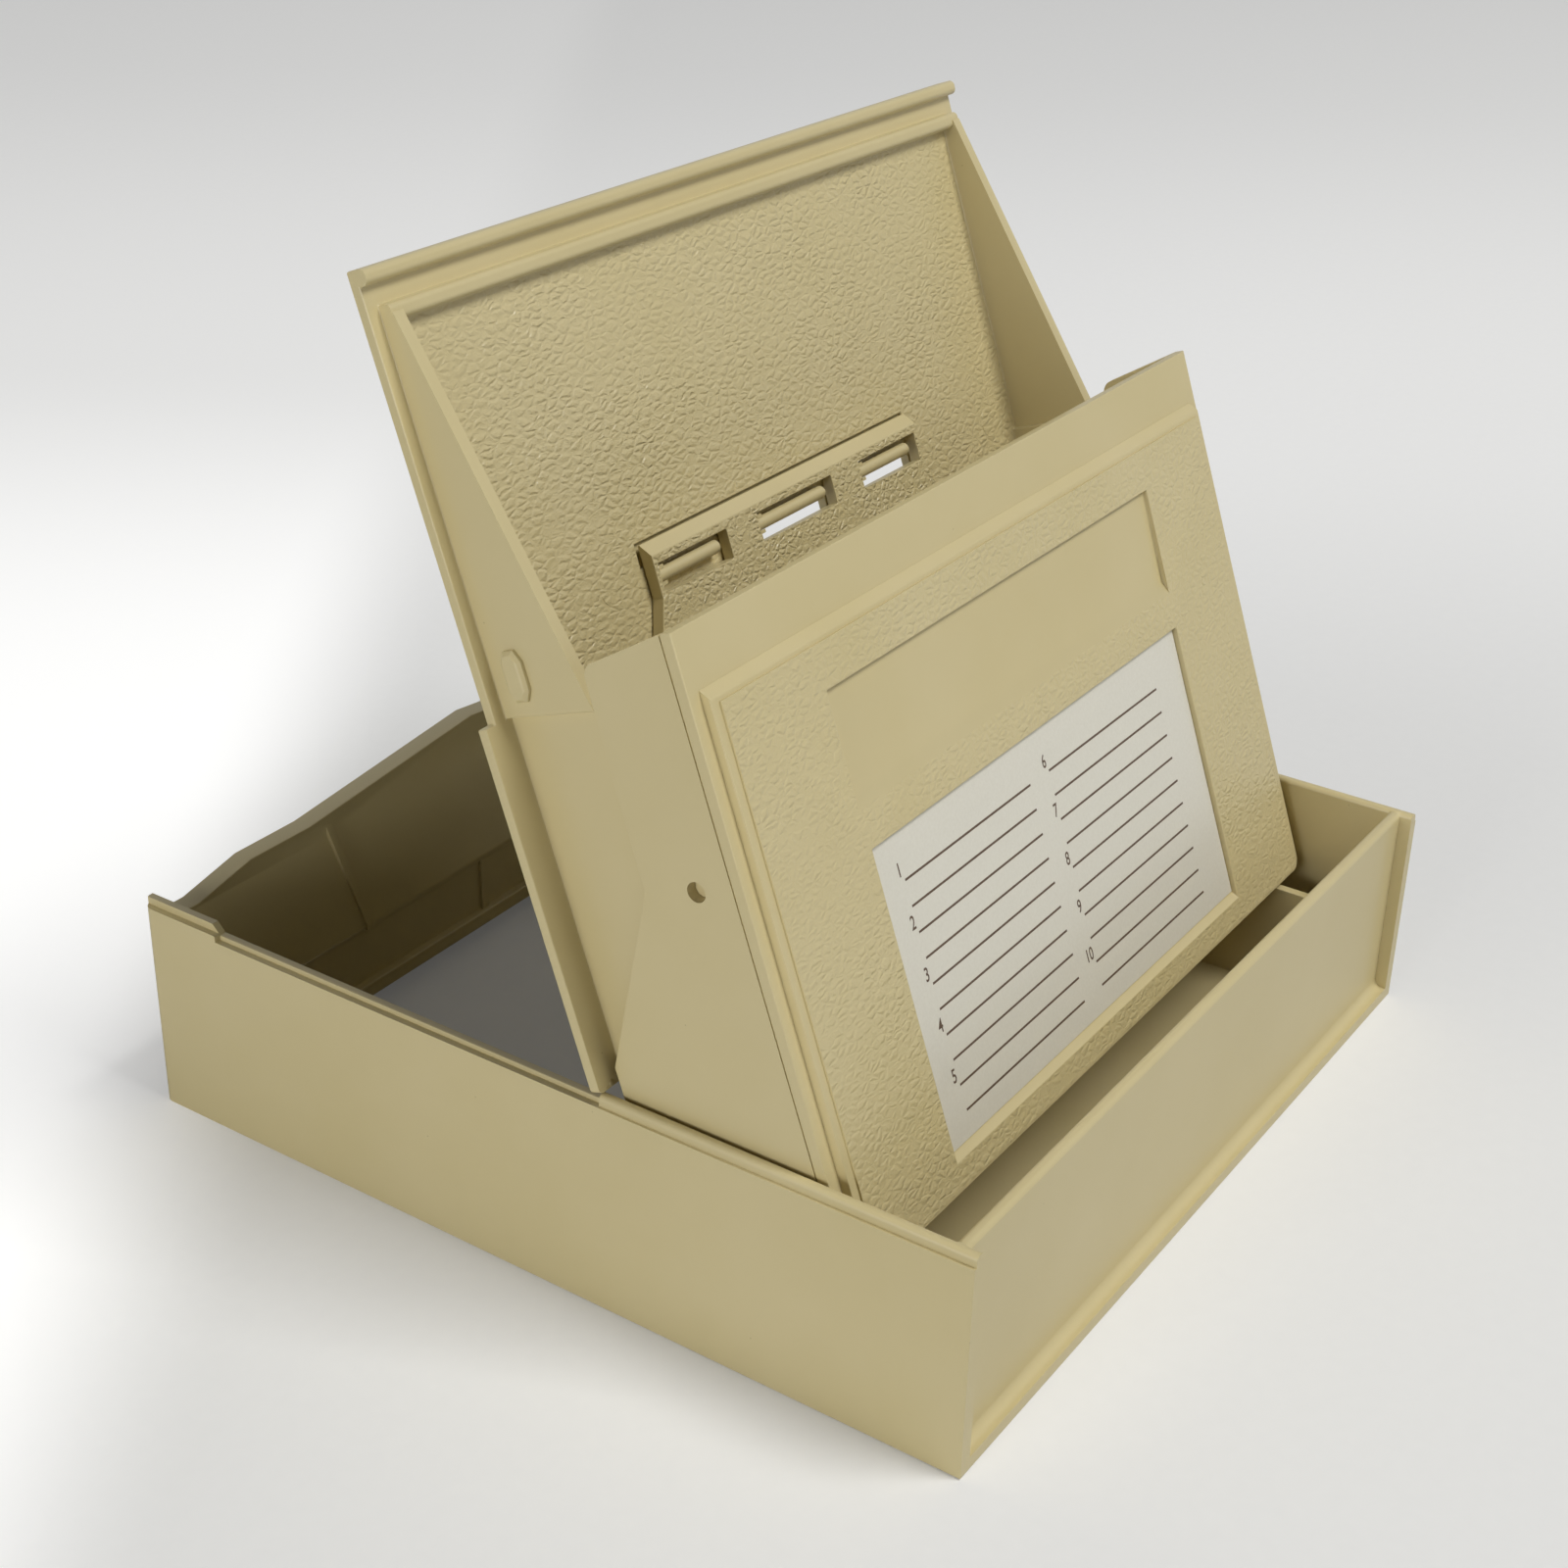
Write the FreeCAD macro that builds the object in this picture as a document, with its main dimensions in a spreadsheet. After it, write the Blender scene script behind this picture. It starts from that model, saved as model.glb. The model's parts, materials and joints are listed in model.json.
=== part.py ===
import FreeCAD
import Part
import Sketcher
import os

# Storage box for five-and-a-quarter-inch floppy disks, standing open on its base.
# World axes: X to the right, Y to the back, Z up; the origin is the centre of the base on the table.
# The cover and the bin lean back together, so each is drawn upright in its own frame and then leaned:
# in such a frame Z runs up the plate and -Y points out of its front face.

SIZES = (
    # base tray
    ("base_width", 165.0),
    ("base_length", 167.5),
    ("side_wall", 2.5),
    ("back_height", 38.0),
    ("side_height", 39.1),
    ("rail_height", 40.0),
    ("rail_width", 1.3),
    ("bead_height", 41.0),
    ("bead_width", 2.0),
    ("bead_length", 67.5),
    ("rear_block_height", 40.3),
    ("rear_rail_height", 41.7),
    ("rear_block_length", 17.5),
    ("rear_corner_radius", 2.0),
    ("front_setback", 2.3),
    ("front_wall", 2.3),
    ("front_height", 40.8),
    ("front_lip_height", 2.7),
    ("front_lip_fillet", 1.8),
    ("floor_length", 50.5),
    ("floor_thickness", 2.0),
    ("back_shoulder_inset", 9.0),
    ("back_shoulder_slope", 13.0),
    ("back_shoulder_rise", 3.0),
    ("back_flat_end", 37.0),
    ("back_crown_rise", 5.0),
    ("back_rim_width", 4.1),
    ("web_thickness", 2.0),
    ("ramp_top_height", 37.2),
    ("ramp_drop", 16.4),
    ("ramp_depth", 8.5),
    ("ridge_height_below", 1.1),
    ("apron_setback", 0.9),
    ("flange_top_height", 8.6),
    ("flange_foot_height", 5.4),
    ("flange_proud", 0.5),
    ("ramp_rib_place", 40.5),
    ("ramp_rib_thickness", 1.7),
    ("ramp_rib_proud", 1.0),
    ("apron_rib_place", 7.2),
    ("apron_rib_thickness", 2.0),
    ("cradle_place", 70.0),
    ("cradle_thickness", 2.0),
    ("cradle_height", 23.5),
    ("cradle_top_length", 23.0),
    ("cradle_slope_length", 6.5),
    ("cradle_low_height", 9.8),
    ("cradle_low_length", 14.0),
    # how the cover stands in the base
    ("lean", 19.7),
    ("seat_gap", 0.7),
    ("seat_overlap", 0.74),
    # back cover
    ("cover_wide_height", 60.1),
    ("cover_height", 128.3),
    ("cover_step", 2.2),
    ("cover_plate", 1.8),
    ("cover_corner_radius", 1.0),
    ("hook_height", 2.5),
    ("hook_depth", 1.8),
    ("hook_channel", 3.1),
    ("ridge_height", 2.7),
    ("ridge_depth", 2.3),
    ("cheek_face_inset", 4.5),
    ("cheek_thickness", 2.2),
    ("cheek_deep_end", 17.7),
    ("cheek_shallow_end", 2.5),
    ("arm_step", 1.3),
    ("arm_thickness", 2.0),
    ("arm_boss_radius", 4.0),
    ("pivot_depth", 28.4),
    ("pivot_height", 32.3),
    ("pivot_pin_diameter", 3.1),
    ("pivot_clearance", 0.2),
    ("pivot_pin_end_inset", 1.9),
    ("nub_height_place", 66.6),
    ("nub_depth_place", 5.0),
    ("nub_length", 8.0),
    ("nub_width", 4.0),
    ("nub_proud", 1.2),
    # front bin
    ("bin_side_gap", 0.5),
    ("bin_side", 1.2),
    ("bin_plate", 1.8),
    ("bin_face_depth", 8.8),
    ("bin_top_rise", 38.8),
    ("bin_bottom_drop", 63.7),
    ("bin_corner_radius", 2.4),
    ("bin_web", 1.6),
    ("bin_top_drop", 3.7),
    ("bin_waist", 10.0),
    ("bin_back_depth", 26.8),
    ("bin_back_drop", 29.1),
    ("bin_floor_rise", 5.3),
    ("bin_floor_knee", 9.4),
    ("bin_floor_drop", 2.7),
    ("seam_place", 6.85),
    ("seam_width", 0.25),
    ("seam_depth", 0.25),
    ("rim_margin", 2.6),
    ("rim_proud", 1.58),
    ("rim_top_margin", 9.4),
    ("rim_bevel", 1.5),
    ("panel_margin", 4.3),
    ("panel_proud", 1.94),
    ("panel_top_margin", 11.7),
    ("name_recess_width", 103.0),
    ("name_recess_top", 7.1),
    ("name_recess_height", 19.1),
    ("name_recess_depth", 1.0),
    ("name_recess_bevel", 2.0),
    ("label_recess_width", 102.0),
    ("label_recess_top", 32.8),
    ("label_recess_height", 53.3),
    ("label_recess_depth", 1.2),
    ("label_recess_bevel", 1.2),
    # index card
    ("card_thickness", 0.3),
    ("card_clearance", 0.3),
    # support plate on the cover's inner face
    ("plate_gap", 0.3),
    ("plate_thickness", 2.2),
    ("plate_head_width", 79.0),
    ("plate_top_height", 74.8),
    ("plate_bevel", 1.9),
    ("head_pocket_depth", 0.8),
    ("head_pocket_margin", 0.3),
    ("head_pocket_height", 4.0),
    ("plate_shoulder_drop", 8.9),
    ("plate_flare_drop", 42.0),
    ("plate_flare", 19.0),
    ("plate_tail", 12.0),
    ("slot_height", 5.1),
    ("slot_foot_drop", 8.6),
    ("side_slot_width", 18.6),
    ("middle_slot_width", 22.4),
    ("slot_edge", 1.0),
    ("hinge_pin_diameter", 2.3),
    ("hinge_pin_drop", 5.6),
    ("hinge_pin_short", 2.2),
    ("hinge_clearance", 0.2),
    ("ear_gap", 0.3),
    ("ear_thickness", 1.3),
    ("ear_height", 3.3),
    ("ear_depth", 2.1),
    ("window_drop", 1.7),
    ("window_height", 5.0),
)

doc = FreeCAD.newDocument("disk_box")
dim = doc.addObject("Spreadsheet::Sheet", "dim")
for row, (name, value) in enumerate(SIZES, start=1):
    dim.set(f"A{row}", name)
    dim.set(f"B{row}", str(value))
    dim.setAlias(f"B{row}", name)
doc.recompute()


def measure(expression):
    """Number that an expression of the sheet's sizes stands for now."""
    return float(dim.evalExpression(expression))


def new_body(name):
    """Empty body whose label names the piece."""
    body = doc.addObject("PartDesign::Body", name)
    body.Label = name
    return body


def plane(body, role):
    """One of the body's own three origin planes."""
    return next(item for item in body.Origin.OriginFeatures if item.Role == role)


def new_sketch(body, role, name, offset="0"):
    """Sketch on an origin plane, moved along the plane's normal by an expression."""
    sketch = body.newObject("Sketcher::SketchObject", name)
    sketch.AttachmentSupport = [(plane(body, role), "")]
    sketch.MapMode = "FlatFace"
    sketch.setExpression("AttachmentOffset.Base.z", offset)
    return sketch


def hold_point(sketch, geometry, vertex, across, up):
    """Hold one point of a sketch at two expressions, measured from the sketch's origin."""
    for kind, expression in (("DistanceX", across), ("DistanceY", up)):
        index = sketch.addConstraint(
            Sketcher.Constraint(kind, -1, 1, geometry, vertex, measure(expression)))
        sketch.setExpression(f"Constraints[{index}]", expression)


def outline(sketch, corners):
    """Closed outline whose corners stand at pairs of expressions."""
    spots = [FreeCAD.Vector(measure(a), measure(b), 0) for a, b in corners]
    lines = []
    for place, spot in enumerate(spots):
        following = spots[(place + 1) % len(spots)]
        lines.append(sketch.addGeometry(Part.LineSegment(spot, following), False))
    for place, line in enumerate(lines):
        following = lines[(place + 1) % len(lines)]
        sketch.addConstraint(Sketcher.Constraint("Coincident", line, 2, following, 1))
    for line, (across, up) in zip(lines, corners):
        hold_point(sketch, line, 1, across, up)


def rectangle(sketch, left, right, low, high):
    """Outline with two upright and two level sides."""
    outline(sketch, [(left, low), (right, low), (right, high), (left, high)])


def ring(sketch, across, up, diameter):
    """Circle held by its centre and its diameter."""
    centre = FreeCAD.Vector(measure(across), measure(up), 0)
    normal = FreeCAD.Vector(0, 0, 1)
    circle = sketch.addGeometry(Part.Circle(centre, normal, measure(diameter) / 2), False)
    hold_point(sketch, circle, 3, across, up)
    index = sketch.addConstraint(Sketcher.Constraint("Diameter", circle, measure(diameter)))
    sketch.setExpression(f"Constraints[{index}]", diameter)


def sweep(body, kind, sketch, name, length, both_ways=False, reverse=False):
    """Pad or Pocket of a sketch, checked to have added or removed material."""
    before = body.Tip.Shape.Volume if body.Tip and body.Tip.Shape.Solids else 0.0
    feature = body.newObject(f"PartDesign::{kind}", name)
    feature.Profile = sketch
    feature.setExpression("Length", length)
    feature.SideType = "Symmetric" if both_ways else "One side"
    feature.Reversed = reverse
    sketch.Visibility = False
    doc.recompute()
    gained = feature.Shape.Volume - before
    if (gained <= 0) == (kind == "Pad"):
        raise RuntimeError(f"{body.Label}: {name} leaves the piece as it was")
    return feature


def pad(body, sketch, name, length, both_ways=False, reverse=False):
    return sweep(body, "Pad", sketch, name, length, both_ways, reverse)


def pocket(body, sketch, name, length, both_ways=False, reverse=False):
    return sweep(body, "Pocket", sketch, name, length, both_ways, reverse)


def mirror(body, features, name):
    """The same features again on the other side of the middle plane."""
    copy = body.newObject("PartDesign::Mirrored", name)
    copy.Originals = features
    copy.MirrorPlane = (plane(body, "YZ_Plane"), [""])
    body.Tip = copy
    doc.recompute()
    return copy


def dress(body, kind, name, size, chosen):
    """Fillet or Chamfer on the edges of the last feature that a test picks out."""
    base = body.Tip
    names = [f"Edge{place}" for place, edge in enumerate(base.Shape.Edges, start=1) if chosen(edge)]
    feature = body.newObject(f"PartDesign::{kind}", name)
    feature.Base = (base, names)
    feature.setExpression("Radius" if kind == "Fillet" else "Size", size)
    doc.recompute()
    return feature


def runs_along(edge, axis):
    """True for a straight edge parallel to the axis 0, 1 or 2."""
    if not isinstance(edge.Curve, Part.Line):
        return False
    direction = edge.Curve.Direction
    return abs(abs((direction.x, direction.y, direction.z)[axis]) - 1) < 1e-6


def near(value, expression):
    return abs(value - measure(expression)) < 0.01


# Places that several pieces share
FRONT = "(-dim.base_length / 2)"
BACK = "(dim.base_length / 2)"
OUTSIDE = "(dim.base_width / 2)"
INSIDE = "(dim.base_width / 2 - dim.side_wall)"
WALL_FRONT = f"({FRONT} + dim.front_setback)"
WALL_BACK = f"({WALL_FRONT} + dim.front_wall)"
NOTCH = f"({FRONT} + dim.bead_length)"
CHEEK_FACE = "(dim.base_width / 2 - dim.cheek_face_inset)"
CHEEK_BACK = f"({CHEEK_FACE} - dim.cheek_thickness)"
ARM_FACE = f"({CHEEK_FACE} - dim.arm_step)"
ARM_BACK = f"({ARM_FACE} - dim.arm_thickness)"
BIN_SIDE_FACE = f"({INSIDE} - dim.bin_side_gap)"
BIN_SIDE_BACK = f"({BIN_SIDE_FACE} - dim.bin_side)"
SEAT_Y = f"({NOTCH} - dim.seat_overlap)"
SEAT_Z = "(dim.bead_height + dim.seat_gap)"
WIDE_TOP = "dim.cover_wide_height"


# Base tray: a frame with a floor under its front part only
base = new_body("base_tray")

walls = new_sketch(base, "XY_Plane", "wall_plan")
outline(walls, [
    (f"-{OUTSIDE}", FRONT), (f"-{INSIDE}", FRONT), (f"-{INSIDE}", WALL_FRONT), (INSIDE, WALL_FRONT),
    (INSIDE, FRONT), (OUTSIDE, FRONT), (OUTSIDE, BACK), (f"-{OUTSIDE}", BACK)])
rectangle(walls, f"-{INSIDE}", INSIDE, WALL_BACK, f"{BACK} - dim.side_wall")
pad(base, walls, "walls", "dim.back_height")

sides = new_sketch(base, "XY_Plane", "side_plan")
rectangle(sides, INSIDE, OUTSIDE, FRONT, f"{BACK} - dim.rear_block_length")
pad(base, sides, "side_band", "dim.side_height")
rails = new_sketch(base, "XY_Plane", "rail_plan")
rectangle(rails, INSIDE, f"{INSIDE} + dim.rail_width", FRONT, f"{BACK} - dim.rear_block_length")
pad(base, rails, "inner_rail", "dim.rail_height")
blocks = new_sketch(base, "XY_Plane", "rear_block_plan")
rectangle(blocks, INSIDE, OUTSIDE, f"{BACK} - dim.rear_block_length", BACK)
pad(base, blocks, "rear_block", "dim.rear_block_height")
rear_rails = new_sketch(base, "XY_Plane", "rear_rail_plan")
rectangle(rear_rails, INSIDE, f"{INSIDE} + dim.rail_width", f"{BACK} - dim.rear_block_length", BACK)
pad(base, rear_rails, "rear_rail", "dim.rear_rail_height")
beads = new_sketch(base, "XY_Plane", "bead_plan")
rectangle(beads, INSIDE, f"{INSIDE} + dim.bead_width", FRONT, NOTCH)
pad(base, beads, "front_bead", "dim.bead_height")
side_features = ("side_band", "inner_rail", "rear_block", "rear_rail", "front_bead")
mirror(base, [doc.getObject(name) for name in side_features], "other_side")

front_top = new_sketch(base, "XY_Plane", "front_wall_plan")
rectangle(front_top, f"-{INSIDE}", INSIDE, WALL_FRONT, WALL_BACK)
pad(base, front_top, "front_wall_top", "dim.front_height")
dress(base, "Fillet", "front_wall_round", "dim.front_wall * 0.42",
      lambda edge: runs_along(edge, 0) and near(edge.BoundBox.ZMax, "dim.front_height"))
dress(base, "Fillet", "bead_round", "dim.bead_width * 0.45",
      lambda edge: runs_along(edge, 1) and near(edge.BoundBox.ZMax, "dim.bead_height")
      and edge.BoundBox.YMax < measure(NOTCH) + 0.01)
dress(base, "Chamfer", "rear_rail_slope", "dim.rear_rail_height - dim.rail_height - 0.1",
      lambda edge: runs_along(edge, 0) and near(edge.BoundBox.ZMax, "dim.rear_rail_height")
      and near(edge.BoundBox.YMax, f"{BACK} - dim.rear_block_length"))

# Back wall: low next to the corners, then a shoulder, then a straight shallow rise to the
# middle, with a rim that is thicker than the wall below it
crown = new_sketch(base, "XZ_Plane", "back_wall_front_view", f"-{BACK}")
steps = [
    ("dim.side_wall", "dim.back_height"),
    ("dim.back_shoulder_inset", "dim.back_height"),
    ("dim.back_shoulder_inset + dim.back_shoulder_slope", "dim.back_height + dim.back_shoulder_rise"),
    ("dim.back_flat_end", "dim.back_height + dim.back_shoulder_rise"),
    ("dim.base_width / 2", "dim.back_height + dim.back_shoulder_rise + dim.back_crown_rise")]
left_half = [(f"{inset} - {OUTSIDE}", height) for inset, height in steps]
right_half = [(f"{OUTSIDE} - ({inset})", height) for inset, height in reversed(steps[:-1])]
RIM_FOOT = "(dim.ramp_top_height - dim.web_thickness * 0.6)"
outline(crown, [(f"dim.side_wall - {OUTSIDE}", RIM_FOOT)] + left_half + right_half
        + [(f"{OUTSIDE} - dim.side_wall", RIM_FOOT)])
pad(base, crown, "back_wall_top", "dim.back_rim_width")
dress(base, "Fillet", "rear_corners", "dim.rear_corner_radius",
      lambda edge: runs_along(edge, 2) and near(abs(edge.BoundBox.XMax), OUTSIDE)
      and near(edge.BoundBox.YMax, BACK) and edge.Length > 20)

# Web inside the back wall: a ramp down to a ridge, an apron set back below the ridge, and a
# flange along the apron's foot
RAMP_Y = f"({BACK} - dim.back_rim_width)"
RIDGE_Y = f"({RAMP_Y} - dim.ramp_depth)"
RIDGE_Z = "(dim.ramp_top_height - dim.ramp_drop)"
NOSE_Z = f"({RIDGE_Z} - dim.ridge_height_below)"
APRON_Y = f"({RIDGE_Y} + dim.apron_setback)"
web = new_sketch(base, "YZ_Plane", "web_side_view")
outline(web, [
    (f"{BACK} - dim.side_wall / 2", "dim.ramp_top_height"),
    (RAMP_Y, "dim.ramp_top_height"),
    (RIDGE_Y, RIDGE_Z),
    (f"{RIDGE_Y} + dim.apron_setback / 4", NOSE_Z),
    (APRON_Y, f"{NOSE_Z} - dim.apron_setback / 4"),
    (APRON_Y, "dim.flange_top_height"),
    (f"{APRON_Y} - dim.apron_setback - dim.flange_proud", "dim.flange_top_height - dim.flange_proud / 2"),
    (f"{APRON_Y} - dim.apron_setback - dim.flange_proud", "dim.flange_foot_height"),
    (f"{APRON_Y} + dim.web_thickness", "dim.flange_foot_height"),
    (f"{APRON_Y} + dim.web_thickness", f"{RIDGE_Z} - dim.web_thickness * 0.2"),
    (f"{RAMP_Y} + dim.web_thickness * 0.55", "dim.ramp_top_height - dim.web_thickness"),
    (f"{BACK} - dim.side_wall / 2", "dim.ramp_top_height - dim.web_thickness")])
pad(base, web, "rear_web", f"2 * {INSIDE} + dim.side_wall", both_ways=True)

# A narrow rib down the ramp, and another down the apron nearer to the middle
RIB_RISE = "(dim.ramp_rib_proud * dim.ramp_drop / dim.ramp_depth)"
rib = new_sketch(base, "YZ_Plane", "ramp_rib_side_view", "dim.ramp_rib_place - dim.ramp_rib_thickness / 2")
outline(rib, [
    (f"{RAMP_Y} + dim.web_thickness / 2", "dim.ramp_top_height - dim.web_thickness / 2"),
    (f"{RAMP_Y} + dim.web_thickness / 2", f"dim.ramp_top_height + {RIB_RISE}"),
    (RAMP_Y, f"dim.ramp_top_height + {RIB_RISE}"),
    (f"{RIDGE_Y} - dim.ramp_rib_proud * 0.4", f"{RIDGE_Z} + dim.ramp_rib_proud * 0.2"),
    (f"{RIDGE_Y} - dim.ramp_rib_proud * 0.4", f"{RIDGE_Z} - dim.ridge_height_below * 0.8"),
    (f"{APRON_Y} + dim.web_thickness / 2", f"{RIDGE_Z} - dim.ridge_height_below * 0.8")])
pad(base, rib, "ramp_rib", "dim.ramp_rib_thickness")
apron_rib = new_sketch(base, "YZ_Plane", "apron_rib_side_view",
                       "dim.apron_rib_place - dim.apron_rib_thickness / 2")
rectangle(apron_rib, f"{RIDGE_Y} + dim.apron_setback / 3", f"{APRON_Y} + dim.web_thickness / 2",
          "(dim.flange_foot_height + dim.flange_top_height) / 2", f"{RIDGE_Z} - dim.ridge_height_below / 2")
pad(base, apron_rib, "apron_rib", "dim.apron_rib_thickness")

# Floor under the front, with a cradle rib near each side for the lower edge of the bin
floor = new_sketch(base, "XY_Plane", "floor_plan")
rectangle(floor, f"-{INSIDE} - dim.side_wall / 2", f"{INSIDE} + dim.side_wall / 2",
          f"{WALL_BACK} - dim.front_wall / 2", f"{WALL_BACK} + dim.floor_length")
pad(base, floor, "front_floor", "dim.floor_thickness")
CRADLE_START = f"({WALL_BACK} - dim.front_wall / 2)"
CRADLE_TOP = f"({WALL_BACK} + dim.cradle_top_length)"
CRADLE_LOW = f"({CRADLE_TOP} + dim.cradle_slope_length)"
cradle = new_sketch(base, "YZ_Plane", "cradle_side_view", "dim.cradle_place - dim.cradle_thickness / 2")
outline(cradle, [
    (CRADLE_START, "dim.floor_thickness / 2"),
    (f"{CRADLE_LOW} + dim.cradle_low_length + dim.cradle_low_height / 2", "dim.floor_thickness / 2"),
    (f"{CRADLE_LOW} + dim.cradle_low_length", "dim.cradle_low_height"),
    (CRADLE_LOW, "dim.cradle_low_height"),
    (CRADLE_TOP, "dim.cradle_height"),
    (CRADLE_START, "dim.cradle_height")])
pad(base, cradle, "cradle_rib", "dim.cradle_thickness")
mirror(base, [doc.getObject(name) for name in ("ramp_rib", "apron_rib", "cradle_rib")], "other_ribs")

# Lip along the foot of the front wall
lip = new_sketch(base, "XY_Plane", "front_lip_plan")
rectangle(lip, f"-{INSIDE}", INSIDE, FRONT, f"{WALL_FRONT} + dim.front_wall / 2")
pad(base, lip, "front_lip", "dim.front_lip_height")
dress(base, "Fillet", "front_lip_sweep", "dim.front_lip_fillet",
      lambda edge: runs_along(edge, 0) and near(edge.BoundBox.ZMax, "dim.front_lip_height")
      and near(edge.BoundBox.YMax, WALL_FRONT))


# Back cover: a plate with a hooked top edge, a cheek on each side and an arm below each cheek
def stand(body, depth="0", height="0"):
    """Lean a body back and put its origin at a depth and height measured on the cover."""
    body.Placement = FreeCAD.Placement(FreeCAD.Vector(), FreeCAD.Rotation(FreeCAD.Vector(-1, 0, 0), 10))
    body.setExpression("Placement.Rotation.Angle", "dim.lean")
    body.setExpression("Placement.Base.y", f"{SEAT_Y} - ({depth}) * cos(dim.lean) + ({height}) * sin(dim.lean)")
    body.setExpression("Placement.Base.z", f"{SEAT_Z} + ({depth}) * sin(dim.lean) + ({height}) * cos(dim.lean)")


cover = new_body("back_cover")
stand(cover)
NARROW = f"({OUTSIDE} - dim.cover_step)"
plate_view = new_sketch(cover, "XZ_Plane", "cover_front_view")
outline(plate_view, [
    (f"-{OUTSIDE}", "0"), (OUTSIDE, "0"), (OUTSIDE, WIDE_TOP), (NARROW, WIDE_TOP),
    (NARROW, "dim.cover_height"), (f"-{NARROW}", "dim.cover_height"), (f"-{NARROW}", WIDE_TOP),
    (f"-{OUTSIDE}", WIDE_TOP)])
pad(cover, plate_view, "cover_plate_pad", "dim.cover_plate", reverse=True)
dress(cover, "Fillet", "cover_corners", "dim.cover_corner_radius",
      lambda edge: runs_along(edge, 1) and near(edge.BoundBox.ZMax, "0"))

HOOK_LOW = "(dim.cover_height - dim.hook_height)"
RIDGE_TOP = f"({HOOK_LOW} - dim.hook_channel)"
hook = new_sketch(cover, "YZ_Plane", "hook_side_view")
rectangle(hook, "-dim.hook_depth", "dim.cover_plate / 2", HOOK_LOW, "dim.cover_height")
pad(cover, hook, "top_hook", f"2 * {NARROW}", both_ways=True)
ridge = new_sketch(cover, "YZ_Plane", "ridge_side_view")
rectangle(ridge, "-dim.ridge_depth", "dim.cover_plate / 2", f"{RIDGE_TOP} - dim.ridge_height", RIDGE_TOP)
pad(cover, ridge, "second_ridge", f"2 * {CHEEK_FACE}", both_ways=True)
dress(cover, "Fillet", "hook_round", "dim.hook_height * 0.42",
      lambda edge: runs_along(edge, 0) and near(edge.BoundBox.YMax, "-dim.hook_depth"))
dress(cover, "Fillet", "ridge_round", "dim.ridge_height * 0.36",
      lambda edge: runs_along(edge, 0) and near(edge.BoundBox.YMax, "-dim.ridge_depth"))

cheek = new_sketch(cover, "YZ_Plane", "cheek_side_view", CHEEK_BACK)
outline(cheek, [
    ("dim.cover_plate / 2", WIDE_TOP), ("dim.cover_plate / 2", f"{RIDGE_TOP} - dim.ridge_height / 2"),
    ("-dim.cheek_shallow_end", f"{RIDGE_TOP} - dim.ridge_height / 2"),
    ("-dim.cheek_deep_end", WIDE_TOP)])
pad(cover, cheek, "cheek", "dim.cheek_thickness")
arm = new_sketch(cover, "YZ_Plane", "arm_side_view", ARM_BACK)
outline(arm, [
    ("dim.cover_plate / 2", "dim.cover_corner_radius + 2.9"),
    ("dim.cover_plate / 2", f"{WIDE_TOP} + dim.cheek_thickness"),
    ("-dim.cheek_deep_end * 0.9", f"{WIDE_TOP} + dim.cheek_thickness"),
    ("-dim.pivot_depth - dim.arm_boss_radius * 0.9", "dim.pivot_height + dim.arm_boss_radius * 0.9"),
    ("-dim.pivot_depth + dim.arm_boss_radius * 0.1", "dim.pivot_height - dim.arm_boss_radius"),
    ("-dim.pivot_depth / 5", "dim.cover_corner_radius + 2.9")])
pad(cover, arm, "arm", "dim.arm_thickness")
tip = new_sketch(cover, "YZ_Plane", "arm_tip_side_view", ARM_BACK)
ring(tip, "-dim.pivot_depth", "dim.pivot_height", "dim.arm_boss_radius * 2")
pad(cover, tip, "arm_tip", "dim.arm_thickness")
PIN_START = f"({ARM_BACK} + dim.arm_thickness / 2)"
pin = new_sketch(cover, "YZ_Plane", "pivot_pin_side_view", PIN_START)
ring(pin, "-dim.pivot_depth", "dim.pivot_height", "dim.pivot_pin_diameter")
pad(cover, pin, "pivot_pin", f"{BIN_SIDE_FACE} - dim.pivot_pin_end_inset - {PIN_START}")
nub = new_sketch(cover, "YZ_Plane", "nub_side_view", f"{CHEEK_FACE} - dim.cheek_thickness / 2")
half_long = "dim.nub_length / 2"
half_wide = "dim.nub_width / 2"
nub_corners = [(-0.5, -1), (0.5, -1), (1, -0.55), (1, 0.55), (0.5, 1), (-0.5, 1), (-1, 0.55), (-1, -0.55)]
outline(nub, [(f"-dim.nub_depth_place + {a} * {half_wide}", f"dim.nub_height_place + {b} * {half_long}")
              for a, b in nub_corners])
pad(cover, nub, "stop_nub", "dim.cheek_thickness / 2 + dim.nub_proud")
mirror(cover, [doc.getObject(name) for name in ("cheek", "arm", "arm_tip", "pivot_pin", "stop_nub")],
       "other_cheek")
dress(cover, "Chamfer", "nub_facets", "dim.nub_proud * 0.5",
      lambda edge: near(abs(edge.BoundBox.XMax), f"{CHEEK_FACE} + dim.nub_proud")
      and near(abs(edge.BoundBox.XMin), f"{CHEEK_FACE} + dim.nub_proud"))

# Shallow pocket that the head of the support plate swings into
head_pocket = new_sketch(cover, "XZ_Plane", "head_pocket_front_view")
POCKET_HALF = "(dim.plate_head_width / 2 + dim.head_pocket_margin)"
POCKET_TOP = "(dim.plate_top_height + dim.head_pocket_margin)"
rectangle(head_pocket, f"-{POCKET_HALF}", POCKET_HALF, f"{POCKET_TOP} - dim.head_pocket_height", POCKET_TOP)
pocket(cover, head_pocket, "head_pocket", "dim.head_pocket_depth * 2", both_ways=True)

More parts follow.
